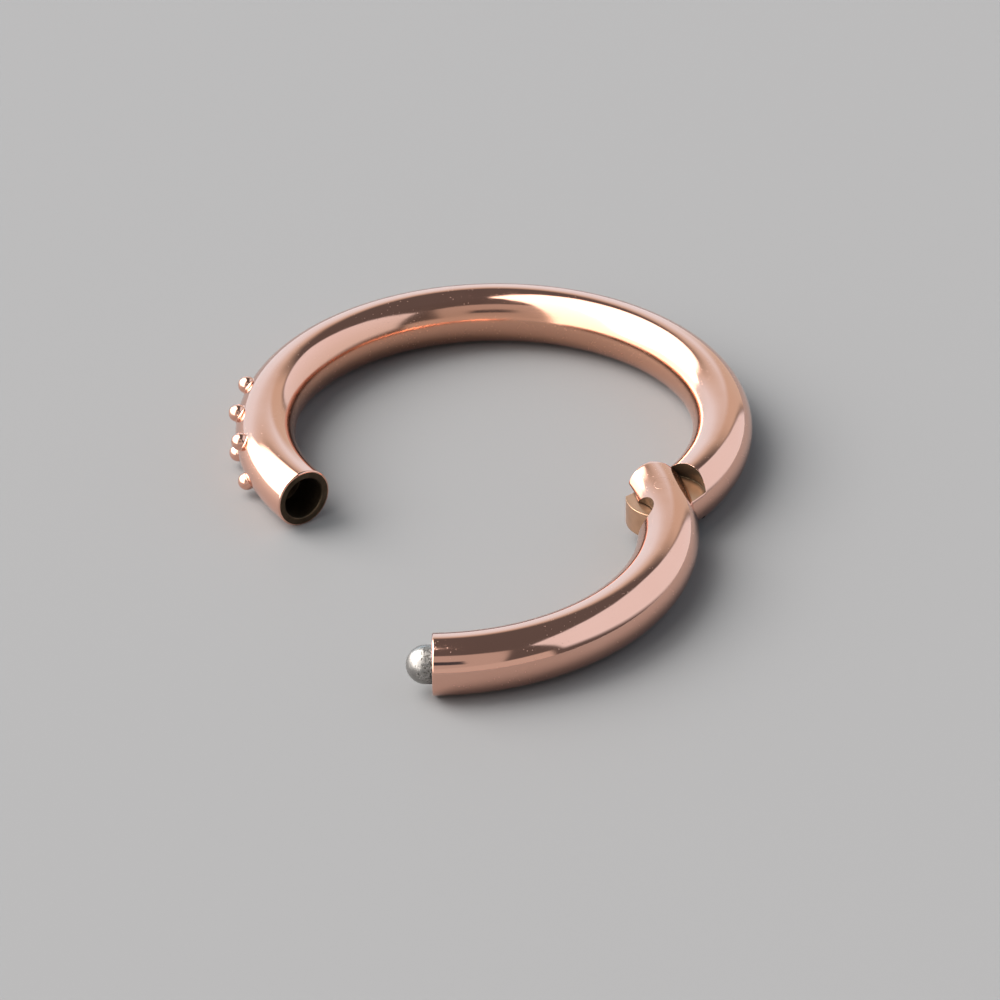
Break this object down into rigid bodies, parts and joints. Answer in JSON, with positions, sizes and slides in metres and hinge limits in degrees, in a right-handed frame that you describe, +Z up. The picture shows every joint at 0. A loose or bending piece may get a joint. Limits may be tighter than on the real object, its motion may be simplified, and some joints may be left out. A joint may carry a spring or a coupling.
{
  "type": "hinged clicker ring",
  "caption": "Round-wire body jewellery ring with a hinged gate, a ball-nosed nub that snaps into a socket, and small beads on its outside.",
  "frame": {"origin": "centre of the ring's circle, on the middle plane of the wire", "axes": "+Z up, square to the ring as it lies on its side; +Y away from the opened gate; +X towards the hinge side"},
  "size_m": [0.0105, 0.0144, 0.0012],
  "materials": {
    "rose_gold": "polished rose-gold plating over stainless steel",
    "steel": "bare stainless steel, worn satin"
  },
  "bodies": {
    "ring": {"ring_arc": "rose_gold"},
    "gate": {"gate_arc": "rose_gold", "hinge_pin": "rose_gold", "latch_nub": "steel"}
  },
  "joints": [
    {"name": "gate_hinge", "type": "hinge", "parent": "ring", "child": "gate", "pos_m": [0.00331, -0.0032, 0], "axis": [0, 0, 1], "range_deg": [-54.5, 33]}
  ]
}
